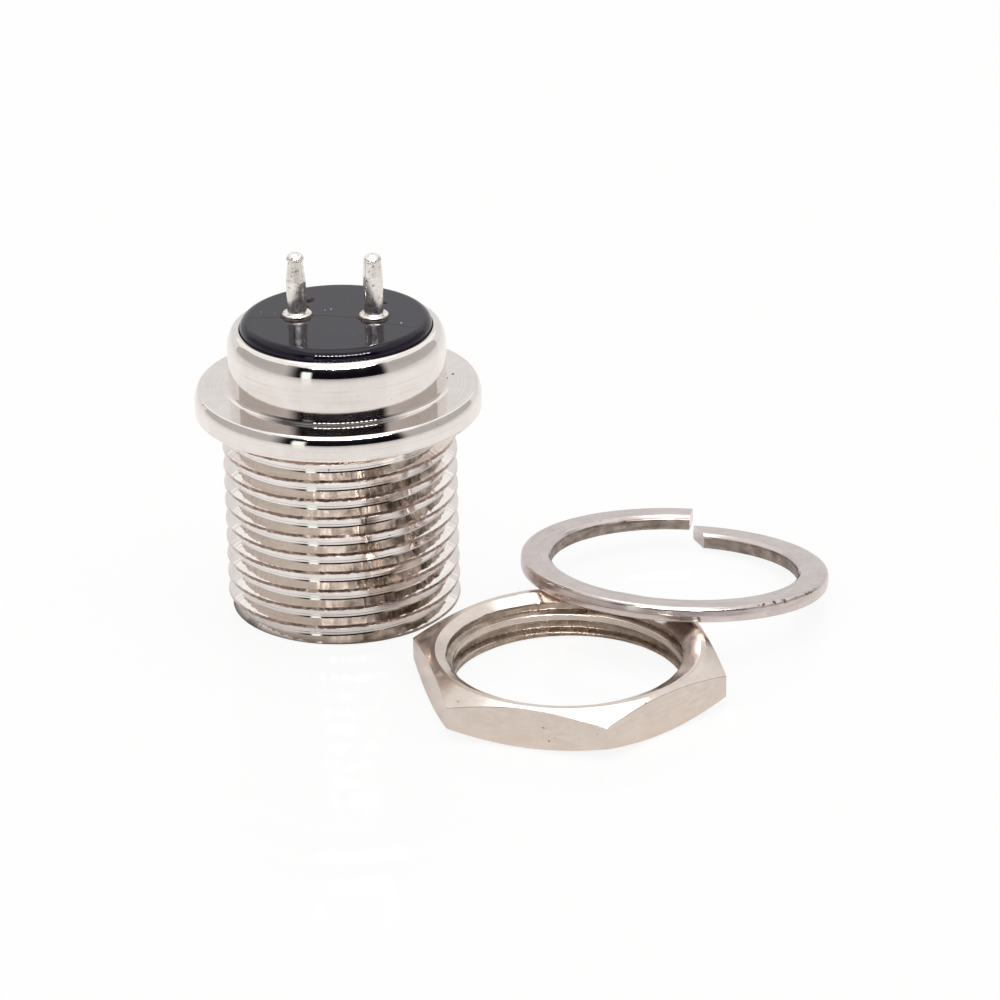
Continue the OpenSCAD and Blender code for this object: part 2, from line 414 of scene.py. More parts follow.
def sheet_faces(rows, columns, seam_shift=0):
    """Quads of a grid that closes round its columns; at the seam, row j meets row j + seam_shift."""
    faces = []
    for i in range(columns):
        shift = seam_shift if i == columns - 1 else 0
        other = (i + 1) % columns
        for j in range(rows - 1 - shift):
            faces.append((
                j * columns + i,
                (j + shift) * columns + other,
                (j + 1 + shift) * columns + other,
                (j + 1) * columns + i,
            ))
    return faces


def make_mesh(name, grids, smooth_angle=SMOOTH_ANGLE, weld=2e-7, sliver=1e-7):
    """One mesh of several grids in millimetres, with touching edges welded; weld and sliver are in metres.

    A grid is its points, its faces and, where it has more than one finish, the number of each face's finish.
    """
    points = []
    faces = []
    finish = []
    count = 0
    for grid_points, grid_faces, *grid_finish in grids:
        flat = np.asarray(grid_points, float).reshape(-1, 3)
        points.append(flat)
        faces.extend(tuple(index + count for index in face) for face in grid_faces)
        finish.extend(grid_finish[0] if grid_finish else [0] * len(grid_faces))
        count += len(flat)
    mesh = bpy.data.meshes.new(name)
    mesh.from_pydata((np.concatenate(points) * MM).tolist(), [], faces)
    mesh.polygons.foreach_set("material_index", finish)
    work = bmesh.new()
    work.from_mesh(mesh)
    bmesh.ops.remove_doubles(work, verts=work.verts, dist=weld)
    bmesh.ops.dissolve_degenerate(work, edges=work.edges, dist=sliver)
    bmesh.ops.recalc_face_normals(work, faces=work.faces)
    work.to_mesh(mesh)
    work.free()
    mesh.shade_smooth()
    mesh.set_sharp_from_angle(angle=math.radians(smooth_angle))
    piece = bpy.data.objects.new(name, mesh)
    bpy.context.scene.collection.objects.link(piece)
    return piece


def settle(piece, node, slot, *materials):
    """The piece takes its finishes, rides on the one body and stands for a CAD node where one is given."""
    for material in materials:
        piece.data.materials.append(material)
    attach(piece, BODY)
    if node:
        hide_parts(node)


def bumps(points, size, shift=0.0):
    """Smooth noise between about -1 and 1 at points of shape (..., 3), with lumps of the given size."""
    flat = np.asarray(points, float).reshape(-1, 3) / size + shift
    values = [noise.noise(Vector(p)) for p in flat]
    return np.array(values).reshape(np.shape(points)[:-1])


def ease(x):
    """A smooth step from 0 to 1."""
    x = np.clip(x, 0, 1)
    return x * x * (3 - 2 * x)


def even_profile(depth, crest_flat, fillet, crest_round):
    """Heights above the root along one pitch of a thread with like flanks, from crest to crest."""
    flank = depth * math.tan(math.radians(NUT_FLANK_ANGLE))
    corners = [
        (0, depth),
        (crest_flat / 2, depth, crest_round),
        (crest_flat / 2 + flank, 0, fillet),
        (PITCH - crest_flat / 2 - flank, 0, fillet),
        (PITCH - crest_flat / 2, depth, crest_round),
        (PITCH, depth),
    ]
    return rounded(corners, steps=4)


def finer(profile, step):
    """The same profile with points added, so that none lie further apart than the step."""
    runs = [profile[:1]]
    for start, end in zip(profile, profile[1:]):
        count = max(1, math.ceil((end[0] - start[0]) / step))
        shares = np.arange(1, count + 1) / count
        runs.append(start + shares[:, None] * (end - start))
    return np.concatenate(runs)


def climb_at(headings, phase):
    """Turns that a right-hand helix has climbed since the front, at each heading."""
    return (headings - math.radians(FRONT_HEADING)) / TURN + phase


def helix_rows(profile, low, high, headings, phase=0.0):
    """Heights of grid rows that follow a right-hand helix, clamped between low and high."""
    first = math.floor((low - CREST_Z_AT_FRONT) / PITCH) - SPARE_TURNS
    last = math.ceil((high - CREST_Z_AT_FRONT) / PITCH) + SPARE_TURNS
    steps = [k + offset / PITCH for k in range(first, last) for offset in profile[:-1, 0]]
    rows = CREST_Z_AT_FRONT + PITCH * (np.array(steps)[:, None] + climb_at(headings, phase)[None, :])
    return np.clip(rows, low, high)


def thread_height(profile, z, headings, phase=0.0):
    """Height of the thread above its root at heights z."""
    share = np.mod((z - CREST_Z_AT_FRONT) / PITCH - climb_at(headings, phase), 1.0)
    return np.interp(share, profile[:, 0] / PITCH, profile[:, 1])


def sheet_finish(rows, columns, seam_shift, finish_of):
    """The finish of each face of a sheet, in the order of sheet_faces, from its row and column."""
    return [
        finish_of(j, i)
        for i in range(columns)
        for j in range(rows - 1 - (seam_shift if i == columns - 1 else 0))
    ]


def key_limit(headings, gap=0.0):
    """Radius of the key rib's flat face at each heading, and a large radius beside the rib."""
    off = np.mod(headings - math.radians(KEY_HEADING) + math.pi, TURN) - math.pi
    face = (SOCKET_R - KEY_H - gap) / np.cos(off)
    half_width = math.asin((KEY_W / 2 + gap) / SOCKET_R)
    return np.where(np.abs(off) < half_width, face, 2 * SOCKET_R)


def make_shell(*materials):
    """Threaded barrel, flange, rear ring with its rolled lip, and the socket with its key rib."""
    columns = SHELL_COLUMNS
    headings = np.arange(columns) / columns * TURN
    root_r = CREST_R - THREAD_DEPTH
    seam = len(BARREL_PROFILE) - 1
    z = helix_rows(BARREL_PROFILE, FLOOR_Z, 0, headings)
    height = thread_height(BARREL_PROFILE, z, headings)
    plain = polar(root_r + height, z, headings)
    at_crest = (height / THREAD_DEPTH) ** CREST_SHARPNESS
    burr = BURR_DEPTH * at_crest * np.abs(bumps(plain, BURR_SIZE))
    rag = WORN_RAG * at_crest * bumps(plain, BURR_SIZE, shift=5.7)
    between = (z > FLOOR_Z) & (z < 0)
    fade = ease((RELIEF_Z - z) / RELIEF_BLEND)
    r = root_r + (height - burr) * fade
    z = np.clip(z + np.where(between, rag, 0), FLOOR_Z, 0)
    r = np.minimum(r, LEAD_IN_R + (z - FLOOR_Z))
    thread = polar(r, z, headings)
    mouth_r = r[0]
    threaded = fade > FULL_THREAD
    finish = sheet_finish(len(z), columns, seam, lambda j, i: STEP_FINISH[j % seam] * int(threaded[j, i]))

    fillet_centre = (RING_R + RING_FILLET, FLANGE_T + RING_FILLET)
    fillet = arc(fillet_centre, (RING_FILLET, RING_FILLET), 270, 180, steps=10)
    bore = rounded([
        (RING_R - LIP_W - LIP_FLAT, LIP_TOP),
        (LIP_BORE_R, LIP_TOP, LIP_INNER_ROUND),
        (LIP_BORE_R, LIP_TOP - LIP_HEIGHT),
        (POCKET_R, LIP_TOP - LIP_HEIGHT),
        (POCKET_R, LEDGE_Z),
        (SOCKET_R, LEDGE_Z),
        (SOCKET_R, FLOOR_Z + KEY_SETBACK + KEY_STEP),
        (SOCKET_R, FLOOR_Z + KEY_SETBACK),
        (SOCKET_R, FLOOR_Z + MOUTH_BEVEL),
        (SOCKET_R + MOUTH_BEVEL, FLOOR_Z),
        (LEAD_IN_R, FLOOR_Z),
    ], steps=8)
    outline = joined([
        rounded([(root_r, 0), (FLANGE_R, 0, FLANGE_BEVEL), (FLANGE_R, FLANGE_T - RIM_H)], steps=9),
        rolled_edge(FLANGE_R, FLANGE_T, RIM_W, RIM_H, RIM_EDGE),
        fillet,
        rolled_edge(RING_R, LIP_TOP, LIP_W, LIP_H, LIP_EDGE),
        bore,
    ])
    body_r = np.repeat(outline[:, :1], columns, axis=1)
    body_z = np.repeat(outline[:, 1:], columns, axis=1)
    body_r[-1] = mouth_r
    in_socket = np.abs(body_r - SOCKET_R) < NEAR
    above_setback = body_z > FLOOR_Z + KEY_SETBACK + KEY_STEP / 2
    ribbed = np.minimum(body_r, key_limit(headings))
    body_r = np.where(in_socket & above_setback, ribbed, body_r)
    body = polar(body_r, body_z, headings)
    past_ring = outline - np.array([RING_R, FLANGE_T])
    in_fillet = np.all((past_ring > -NEAR) & (past_ring < RING_FILLET + NEAR), axis=1)
    # The corner above the flange takes the finish with painted dark shade
    row_finish = FILLET_FINISH * (in_fillet[:-1] & in_fillet[1:])
    body_finish = sheet_finish(len(outline), columns, 0, lambda j, i: int(row_finish[j]))
    shell = make_mesh("threaded_shell", [
        (thread, sheet_faces(len(z), columns, seam), finish),
        (body, sheet_faces(len(outline), columns), body_finish),
    ], SHELL_SMOOTH_ANGLE)
    settle(shell, "shell", "nickel_shell", *materials)


def cut(piece, tool):
    """Takes the tool's volume out of the piece, and removes the tool."""
    step = piece.modifiers.new("cut", "BOOLEAN")
    step.operation = "DIFFERENCE"
    step.solver = "EXACT"
    step.object = tool
    bpy.context.view_layer.update()
    shaped = bpy.data.meshes.new_from_object(piece.evaluated_get(bpy.context.evaluated_depsgraph_get()))
    piece.modifiers.clear()
    piece.data = shaped
    bpy.data.objects.remove(tool)


def turned(outline, centre, columns):
    """Grid of an outline of (r, z) points turned round an upright axis."""
    headings = np.arange(columns) / columns * TURN
    r = np.repeat(outline[:, :1], columns, axis=1)
    z = np.repeat(outline[:, 1:], columns, axis=1)
    points = polar(r, z, headings) + np.array([centre[0], centre[1], 0])
    return points, sheet_faces(len(outline), columns)


def contact_centre(node):
    """Where a contact's axis stands, in millimetres."""
    low, high = box_mm(node)
    return (low[:2] + high[:2]) / 2


def make_insulator(material):
    """Moulded disc with a rounded rim, its shoulder under the lip, a keyway and two holes."""
    columns = 256
    headings = np.arange(columns) / columns * TURN
    nose_r = SOCKET_R - SHELL_GAP
    outline = rounded([
        (0, INSERT_FRONT),
        (nose_r, INSERT_FRONT, NOSE_ROUND),
        (nose_r, LEDGE_Z),
        (SHOULDER_R, LEDGE_Z),
        (SHOULDER_R, SHOULDER_TOP),
        (INSERT_R, SHOULDER_TOP),
        (INSERT_R, FACE_Z, FACE_ROUND),
        (0, FACE_Z),
    ], steps=10)
    r = np.repeat(outline[:, :1], columns, axis=1)
    z = np.repeat(outline[:, 1:], columns, axis=1)
    in_nose = (z < LEDGE_Z - LEDGE_MARGIN) & (r > SOCKET_R / 2)
    r = np.where(in_nose, np.minimum(r, key_limit(headings, SHELL_GAP)), r)
    disc = make_mesh("insulator_disc", [(polar(r, z, headings), sheet_faces(len(outline), columns))])
    for node in ("contact_left", "contact_right"):
        hole = rounded([
            (0, INSERT_FRONT - HOLE_OVERSHOOT),
            (CONTACT_R + HOLE_GAP, INSERT_FRONT - HOLE_OVERSHOOT),
            (CONTACT_R + HOLE_GAP, FACE_Z + HOLE_OVERSHOOT),
            (0, FACE_Z + HOLE_OVERSHOOT),
        ])
        cut(disc, make_mesh("hole", [turned(hole, contact_centre(node), columns=48)]))
    disc.data.shade_smooth()
    disc.data.set_sharp_from_angle(angle=math.radians(SMOOTH_ANGLE))
    settle(disc, "insulator", "black_insulator", material)


def make_contact(node, name, material, neck_r, taper):
    """Turned contact: mating pin, body, puffy collar, and a solder tail with a neck and a domed head."""
    low, high = box_mm(node)
    pin_tip = low[2]
    tail_top = high[2]
    dome = tail_top - TIP_H
    collar_top = FACE_Z + COLLAR_T
    shaft = rounded([
        (PIN_R, pin_tip + PIN_R),
        (PIN_R, INSERT_FRONT, PIN_ROOT_ROUND),
        (CONTACT_R, INSERT_FRONT, CONTACT_ROUND),
        (CONTACT_R, FACE_Z),
        (COLLAR_R, FACE_Z, COLLAR_FOOT_ROUND),
        (COLLAR_R, collar_top, COLLAR_TOP_ROUND),
        (TAIL_R, collar_top, TAIL_FOOT_ROUND),
        (TAIL_R, dome - taper, TAPER_ROUND),
        (neck_r, dome - NECK_DROP, HEAD_ROUND),
        (TIP_R, dome - HEAD_DROP, HEAD_ROUND),
        (TIP_R, dome),
    ], steps=8)
    outline = np.concatenate([
        arc((0, pin_tip + PIN_R), (PIN_R, PIN_R), -90, 0, steps=10),
        shaft,
        arc((0, dome), (TIP_R, TIP_H), 0, 90, steps=14),
    ])
    centre = contact_centre(node)
    points, faces = turned(outline, centre, columns=96)
    dents = bumps(points, DENT_SIZE, shift=7.3)
    from_axis = points[..., :2] - centre
    points[..., :2] = centre + from_axis * (1 + DENT_SHARE * dents)[..., None]
    settle(make_mesh(name, [(points, faces)]), node, "plated_contact", material)


def hexagon_radius(headings):
    """Radius of the nut's hexagon with slightly rounded corners."""
    off = np.mod(headings - math.radians(NUT_TURN) + math.pi / 6, math.pi / 3) - math.pi / 6
    straight = NUT_FLAT_R / np.cos(math.pi / 6 - np.abs(off))
    reach = (NUT_FLAT_R - NUT_CORNER_ROUND) / math.cos(math.pi / 6)
    inside = np.maximum(NUT_CORNER_ROUND ** 2 - (reach * np.sin(off)) ** 2, 0)
    corner = reach * np.cos(off) + np.sqrt(inside)
    widest = math.atan(NUT_CORNER_ROUND / 2 / (reach + NUT_CORNER_ROUND * math.cos(math.pi / 6)))
    return np.where(np.abs(off) < widest, corner, straight)


def make_nut(*materials):
    """Hexagon nut, bevelled and countersunk at both faces, with its inside thread."""
    near_corner = np.radians(NUT_CORNER_COLUMNS)
    even = np.arange(NUT_COLUMNS) / NUT_COLUMNS * TURN
    corners = np.radians(NUT_TURN) + np.arange(6) * TURN / 6
    every = np.concatenate([even, *[corner + near_corner for corner in corners]])
    headings = np.unique(np.round(np.mod(every, TURN), decimals=7))
    columns = len(headings)
    hexagon = hexagon_radius(headings)
    outlines = []
    for r in hexagon:
        drop = max((r - NUT_FACE_R) * NUT_BEVEL, NUT_LEAST_DROP)
        outlines.append(rounded([
            (SINK_R, NUT_T),
            (NUT_FACE_R, NUT_T, NUT_EDGE),
            (r, NUT_T - drop, NUT_EDGE),
            (r, drop, NUT_EDGE),
            (NUT_FACE_R, 0, NUT_EDGE),
            (UNDER_SINK_R, 0),
        ], steps=3))
    outside = np.array(outlines).transpose(1, 0, 2)
    outer = polar(outside[..., 0], outside[..., 1] + FLOOR_Z, headings)

    depth = NUT_THREAD_R - NUT_BORE_R
    profile = finer(even_profile(depth, NUT_CREST_FLAT, NUT_ROOT_FILLET, NUT_CREST_ROUND), NUT_ROW_STEP)
    z = helix_rows(profile, FLOOR_Z, FLOOR_Z + NUT_T, headings, NUT_PHASE)
    height = thread_height(profile, z, headings, NUT_PHASE)
    upper_sink = SINK_R - (FLOOR_Z + NUT_T - z) / SINK_SLOPE
    lower_sink = UNDER_SINK_R - (z - FLOOR_Z) / SINK_SLOPE
    r = np.maximum(NUT_THREAD_R - height, np.maximum(upper_sink, lower_sink))
    inner = polar(r, z, headings)
    # Grooves of the thread, and crests low in the bore, take the darker finish as painted shade
    on_crest = height > NUT_BRIGHT_SHARE * depth
    bright = (upper_sink > NUT_THREAD_R - height) | (on_crest & (z > FLOOR_Z + NUT_SHADE_H))
    seam = len(profile) - 1
    finish = sheet_finish(len(z), columns, seam, lambda j, i: int(not (bright[j, i] or bright[j + 1, i])))
    place = np.array([NUT_CENTRE[0], NUT_CENTRE[1], 0])
    nut = make_mesh("hexagon_nut", [
        (outer + place, sheet_faces(len(outside), columns)),
        (inner + place, sheet_faces(len(z), columns, seam), finish),
    ])
    settle(nut, "mounting_nut", "nickel_nut", *materials)


def washer_point(r, level, share):
    """A point of the washer before it is laid down, from its low end at share 0 to its high end at 1."""
    width = SPLIT_INNER + (SPLIT_OUTER - SPLIT_INNER) * (r - WASHER_BORE_R) / WASHER_W
    gap = np.arcsin(width / r)
    heading = math.radians(SPLIT_HEADING) - gap - share * (TURN - gap)
    height = level + WASHER_RISE * (share - 0.5)
    return np.stack([r * np.cos(heading), r * np.sin(heading), height + 0 * heading], axis=-1)


def washer_rest(r, heading):
    """The point of the washer's underside at radius r that faces a heading."""
    gap = math.asin(SPLIT_INNER / r)
    share = ((math.radians(SPLIT_HEADING) - gap - heading) % TURN) / (TURN - gap)
    return washer_point(np.array(r), -WASHER_T / 2, share)


def lay_washer(points):
    """Lays the washer on its low end and on the two places where its bore crosses the nut's upper face."""
    rest_r = WASHER_BORE_R + WASHER_EDGE
    to_nut = NUT_CENTRE - WASHER_CENTRE
    distance = np.linalg.norm(to_nut)
    nut_heading = math.atan2(to_nut[1], to_nut[0])
    spread = math.acos((distance ** 2 + rest_r ** 2 - NUT_FACE_R ** 2) / (2 * distance * rest_r))
    low_end = washer_point(np.array(WASHER_BORE_R + WASHER_W - WASHER_EDGE), -WASHER_T / 2, 0.0)
    left = washer_rest(rest_r, nut_heading - spread) - low_end
    right = washer_rest(rest_r, nut_heading + spread) - low_end
    across = np.cross(left, right)
    lean = NUT_T * np.cross(right - left, across) / (across @ across)
    up = lean + across / np.linalg.norm(across) * math.sqrt(1 - lean @ lean)
    level_x = np.array([1, 0, 0]) - up[0] * up
    level_x = level_x / np.linalg.norm(level_x)
    level_y = np.cross(up, level_x)
    base = np.array([*WASHER_CENTRE, FLOOR_Z + SEAT_GAP - up @ low_end])
    return points @ np.stack([level_x, level_y, up], axis=1) + base


def make_washer(*materials):
    """Split spring washer with rolled edges, painted shade in its bore, and rusty chips along its outer upper
    edge.
    """
    steps = WASHER_STEPS
    outer_r = WASHER_BORE_R + WASHER_W
    half = WASHER_T / 2
    middle = ((WASHER_BORE_R + outer_r) / 2, -half)
    section = rounded([
        middle,
        (outer_r - WASHER_UNDER_INSET, -half, WASHER_UNDER_ROUND),
        (outer_r, -WASHER_BELLY_DROP, WASHER_BELLY_ROUND),
        (outer_r - WASHER_TOP_INSET, half, WASHER_TOP_ROUND),
        (WASHER_BORE_R + WASHER_BEVEL, half, WASHER_BEVEL_ROUND),
        (WASHER_BORE_R, half - WASHER_BEVEL, WASHER_BEVEL_ROUND),
        (WASHER_BORE_R, -half, WASHER_EDGE),
        middle,
    ], steps=5)[:-1]
    shares = np.arange(steps + 1) / steps
    sides = len(section)
    r = np.repeat(section[:, :1], steps + 1, axis=1)
    level = np.repeat(section[:, 1:], steps + 1, axis=1)
    plain = washer_point(r, level, shares[None, :])
    on_edge = np.exp(-((r - outer_r) ** 2 + (level - half) ** 2) / CHIP_REACH ** 2)
    worn_part = ease(CHIP_EASE - np.abs(shares - CHIP_MIDDLE) / CHIP_SPREAD)[None, :]
    coarse = np.maximum(bumps(plain, CHIP_SIZE, shift=3.1) - CHIP_LEVEL, 0)
    fine = np.maximum(bumps(plain, FINE_CHIP_SIZE) - FINE_CHIP_LEVEL, 0)
    chips = coarse + FINE_CHIP_SHARE * fine
    chips = chips * on_edge * (CHIP_ELSEWHERE + (1 - CHIP_ELSEWHERE) * worn_part)
    chipped = washer_point(r - CHIP_IN * chips, level - CHIP_DOWN * chips, shares[None, :])
    points = lay_washer(chipped)
    width = steps + 1
    # Faces of the bore take the darker finish, as painted shade
    in_bore = section[:, 0] < WASHER_BORE_R + WASHER_BEVEL / 2
    faces = []
    finish = []
    for j in range(sides):
        k = (j + 1) % sides
        for i in range(steps):
            faces.append((j * width + i, j * width + i + 1, k * width + i + 1, k * width + i))
            rusty = RUSTY_FINISH * int(chips[j, i] * worn_part[0, i] > RUST_LEVEL)
            finish.append(BORE_SHADE_FINISH if in_bore[j] and in_bore[k] else rusty)
    faces.append(tuple(j * width for j in range(sides)))
    faces.append(tuple(j * width + steps for j in reversed(range(sides))))
    finish.extend([0, 0])
    washer = make_mesh("split_lock_washer", [(points, faces, finish)])
    settle(washer, "lock_washer", "plated_washer", *materials)


def crumb(place, size, seed):
    """Grid of a small flat-lying crumb of uneven outline, in millimetres."""
    rows = 6
    columns = 10
    headings = np.arange(columns) / columns * TURN
    tilt = np.linspace(-math.pi / 2, math.pi / 2, rows)[:, None]
    ball = polar(np.cos(tilt) + 0 * headings, np.sin(tilt) + 0 * headings, headings)
    lumps = 1 + CRUMB_UNEVEN * bumps(ball, CRUMB_LUMP, shift=seed)
    points = ball * lumps[..., None] * CRUMB_SHAPE * size / 2
    return points + np.array(place), sheet_faces(rows, columns)


def make_crumbs(name, spots, slot, material):
    """Crumbs of (x, y, z, size) spots, as one piece."""
    grids = [crumb(spot[:3], spot[3], CRUMB_SEED_STEP * count) for count, spot in enumerate(spots)]
    settle(make_mesh(name, grids, DIRT_SMOOTH_ANGLE), None, slot, material)


def make_seam(name, paths, slot, material):
    """Hairlines along paths on the insulator's face."""
    grids = []
    for path in paths:
        stops = np.array(path, float)
        shares = np.linspace(0, len(stops) - 1, SEAM_POINTS * len(stops))
        along = np.stack([np.interp(shares, np.arange(len(stops)), stops[:, k]) for k in (0, 1)], axis=-1)
        along[:, 1] += SEAM_WAVE * bumps(np.pad(along, ((0, 0), (0, 1))), SEAM_WAVE_SIZE, shift=1.9)
        side = np.array([0, SEAM_W / 2])
        level = np.full((len(along), 1), FACE_Z + SEAM_LIFT)
        edge = [np.concatenate([along + sign * side, level], axis=1) for sign in (-1, 1)]
        count = len(along)
        faces = [(i, i + 1, count + i + 1, count + i) for i in range(count - 1)]
        grids.append((np.stack(edge), faces))
    settle(make_mesh(name, grids), None, slot, material)


def make_residue(name, nodes, slot, material):
    """Low uneven rings of flux residue on the insulator's face, round the contacts' collars."""
    grids = []
    for node in nodes:
        ring = arc((COLLAR_R, FACE_Z), (RESIDUE_W, RESIDUE_H), 0, 180, steps=8)
        points, faces = turned(ring, (0, 0), columns=72)
        points[..., :2] *= (1 + RESIDUE_RAG * bumps(points, RESIDUE_LUMP, shift=4.4))[..., None]
        grids.append((points + np.array([*contact_centre(node), 0]), faces))
    settle(make_mesh(name, grids, DIRT_SMOOTH_ANGLE), None, slot, material)


def node_of(tree, kind, **inputs):
    """A shader node with the given constant inputs."""
    node = tree.nodes.new(kind)
    for name, value in inputs.items():
        node.inputs[name.replace("_", " ")].default_value = value
    return node


def worked_out(tree, operation, *sources, kind="ShaderNodeMath", output="Value"):
    """What a node works out from constants and other nodes' outputs."""
    node = tree.nodes.new(kind)
    node.operation = operation
    for socket, source in zip(node.inputs, sources):
        if isinstance(source, bpy.types.NodeSocket):
            tree.links.new(source, socket)
        else:
            socket.default_value = source
    return node.outputs[output]


def worked_vector(tree, operation, *sources, output="Vector"):
    """What a vector node works out from constants and other nodes' outputs."""
    return worked_out(tree, operation, *sources, kind="ShaderNodeVectorMath", output=output)


def spread_over(tree, source, levels, values, course="LINEAR"):
    """Two levels of a source spread over two values."""
    node = node_of(tree, "ShaderNodeMapRange", From_Min=levels[0], From_Max=levels[1])
    node.inputs["To Min"].default_value = values[0]
    node.inputs["To Max"].default_value = values[1]
    node.interpolation_type = course
    tree.links.new(source, node.inputs["Value"])
    return node.outputs[0]


def place_of(tree):
    """The place on the piece, which is the place in the part's frame in metres."""
    return tree.nodes.new("ShaderNodeTexCoord").outputs["Object"]


def parts_of(tree, vector):
    """The X, Y and Z of a vector."""
    parts = tree.nodes.new("ShaderNodeSeparateXYZ")
    tree.links.new(vector, parts.inputs[0])
    return parts.outputs


def new_material(name):
    """A material with its node tree and its one shader."""
    material = bpy.data.materials.new(name)
    material.use_nodes = True
    tree = material.node_tree
    return material, tree, tree.nodes["Principled BSDF"]


def ramp(tree, source, low, high, low_colour, high_colour):
    """Colours between two levels of a source."""
    node = tree.nodes.new("ShaderNodeValToRGB")
    node.color_ramp.elements[0].position = low
    node.color_ramp.elements[0].color = (*low_colour, 1)
    node.color_ramp.elements[1].position = high
    node.color_ramp.elements[1].color = (*high_colour, 1)
    tree.links.new(source, node.inputs["Fac"])
    return node.outputs["Color"]


def mask_of(tree, source, low, high):
    """A mask that goes from black to white between two levels of a source."""
    return ramp(tree, source, low, high, (0, 0, 0), WHITE)


def noise_of(tree, vector, size, detail=2.0, roughness=0.5):
    """A noise texture with lumps of the given size in millimetres."""
    node = node_of(tree, "ShaderNodeTexNoise", Scale=1 / (size * MM), Detail=detail, Roughness=roughness)
    tree.links.new(vector, node.inputs["Vector"])
    return node.outputs["Fac"]


def turning_coordinates(tree, centre):
    """The place, and coordinates that are constant round an axis, on which noise looks like turning marks."""
    place = place_of(tree)
    from_axis = worked_vector(tree, "SUBTRACT", place, (centre[0] * MM, centre[1] * MM, 0))
    flat = worked_vector(tree, "MULTIPLY", from_axis, (1, 1, 0))
    rings = tree.nodes.new("ShaderNodeCombineXYZ")
    tree.links.new(worked_vector(tree, "LENGTH", flat, output="Value"), rings.inputs["X"])
    tree.links.new(parts_of(tree, from_axis)["Z"], rings.inputs["Z"])
    return place, rings.outputs[0]


def painted_over(tree, under, mask, colour):
    """A colour over another one where the mask is white."""
    mix = tree.nodes.new("ShaderNodeMix")
    mix.data_type = "RGBA"
    tree.links.new(mask, mix.inputs["Factor"])
    tree.links.new(under, mix.inputs["A"])
    mix.inputs["B"].default_value = (*colour, 1)
    return mix.outputs["Result"]


def heading_mask(tree, place, heading, spread):
    """White toward a heading in degrees from the part's axis, fading to black at the spread on both sides."""
    outward = worked_vector(tree, "NORMALIZE", worked_vector(tree, "MULTIPLY", place, (1, 1, 0)))
    toward_it = (math.cos(math.radians(heading)), math.sin(math.radians(heading)), 0)
    along = worked_vector(tree, "DOT_PRODUCT", outward, toward_it, output="Value")
    edge = math.cos(math.radians(spread))
    inside = math.cos(math.radians(HEADING_MASK_CORE * spread))
    return mask_of(tree, along, edge, inside)


def height_mask(tree, place, low, high):
    """White below a height in millimetres, fading to black at a higher one."""
    return spread_over(tree, parts_of(tree, place)["Z"], (low * MM, high * MM), (1, 0))


def set_roughness(tree, shader, source, roughness, levels=(0, 1)):
    """Roughness between two values, over two levels of a source."""
    tree.links.new(spread_over(tree, source, levels, roughness), shader.inputs["Roughness"])


def set_bump(tree, shader, source, strength):
    """Fine relief of the shaded surface from a source."""
    bump = node_of(tree, "ShaderNodeBump", Strength=strength, Distance=BUMP_HEIGHT * MM)
    tree.links.new(source, bump.inputs["Height"])
    tree.links.new(bump.outputs["Normal"], shader.inputs["Normal"])


def plated_metal(
    name, colour, stain, roughness, centre=(0, 0), mark=0.05, mark_depth=0.06, smear=0.93,
    speck=0.76, spots=(0.16, 0.12, 0.09), wear_and_shade_layers=(), foot=None, metallic=1.0,
):
    """Bright plate over turned metal: turning marks, smears along them, cloudy tarnish and a few dark specks.

    Painted shade, and on the crests also wear, lies round a heading, in lumps; foot is painted shade up to a
    height.
    """
    material, tree, shader = new_material(name)
    place, rings = turning_coordinates(tree, centre)
    cloud = noise_of(tree, place, size=0.9, detail=5, roughness=0.6)
    tint = ramp(tree, cloud, low=0.35, high=0.72, low_colour=colour, high_colour=stain)
    lines = mask_of(tree, noise_of(tree, rings, size=0.22, detail=4, roughness=0.65), low=0.47, high=0.62)
    patches = mask_of(tree, noise_of(tree, place, size=2.2, detail=3), low=0.42, high=0.62)
    smeared = worked_out(tree, "MULTIPLY", lines, patches)
    tint = painted_over(tree, tint, smeared, [smear * level for level in stain])
    # Each layer paints shade, and on the crests also wear, round its heading
    for layer in wear_and_shade_layers:
        lumps = mask_of(tree, noise_of(tree, place, layer["size"], detail=3), *layer["levels"])
        side = heading_mask(tree, place, layer["heading"], layer["spread"])
        tint = painted_over(tree, tint, worked_out(tree, "MULTIPLY", lumps, side), layer["colour"])
    # Painted shade up to a height
    if foot:
        tint = painted_over(tree, tint, height_mask(tree, place, *foot["heights"]), foot["colour"])
    specks = noise_of(tree, place, size=0.16, detail=1)
    tint = painted_over(tree, tint, mask_of(tree, specks, speck, speck + SPECK_FADE), spots)
    tree.links.new(tint, shader.inputs["Base Color"])
    shader.inputs["Metallic"].default_value = metallic
    haze = noise_of(tree, place, size=0.5, detail=4, roughness=0.65)
    set_roughness(tree, shader, haze, roughness, levels=(0.3, 0.7))
    set_bump(tree, shader, noise_of(tree, rings, mark, detail=3, roughness=0.7), mark_depth)
    return material


def moulded_black(name):
    """Glossy black moulded plastic with faint clouds, smears and ripples."""
    material, tree, shader = new_material(name)
    place = place_of(tree)
    cloud = noise_of(tree, place, size=1.4, detail=4)
    tint = ramp(tree, cloud, low=0.3, high=0.7, low_colour=PLASTIC, high_colour=PLASTIC_CLOUD)
    tree.links.new(tint, shader.inputs["Base Color"])
    haze = noise_of(tree, place, size=0.7, detail=5, roughness=0.7)
    set_roughness(tree, shader, haze, roughness=(0.03, 0.09))
    shader.inputs["IOR"].default_value = PLASTIC_IOR
    set_bump(tree, shader, noise_of(tree, place, size=0.25, detail=3), PLASTIC_RIPPLE)
    return material


def plain_dirt(name, colour):
    """Dull dirt with an uneven tone."""
    material, tree, shader = new_material(name)
    cloud = noise_of(tree, place_of(tree), size=0.08, detail=3)
    shade = [DIRT_SHADE * level for level in colour]
    tint = ramp(tree, cloud, low=0.3, high=0.7, low_colour=colour, high_colour=shade)
    tree.links.new(tint, shader.inputs["Base Color"])
    shader.inputs["Roughness"].default_value = DIRT_ROUGHNESS
    return material


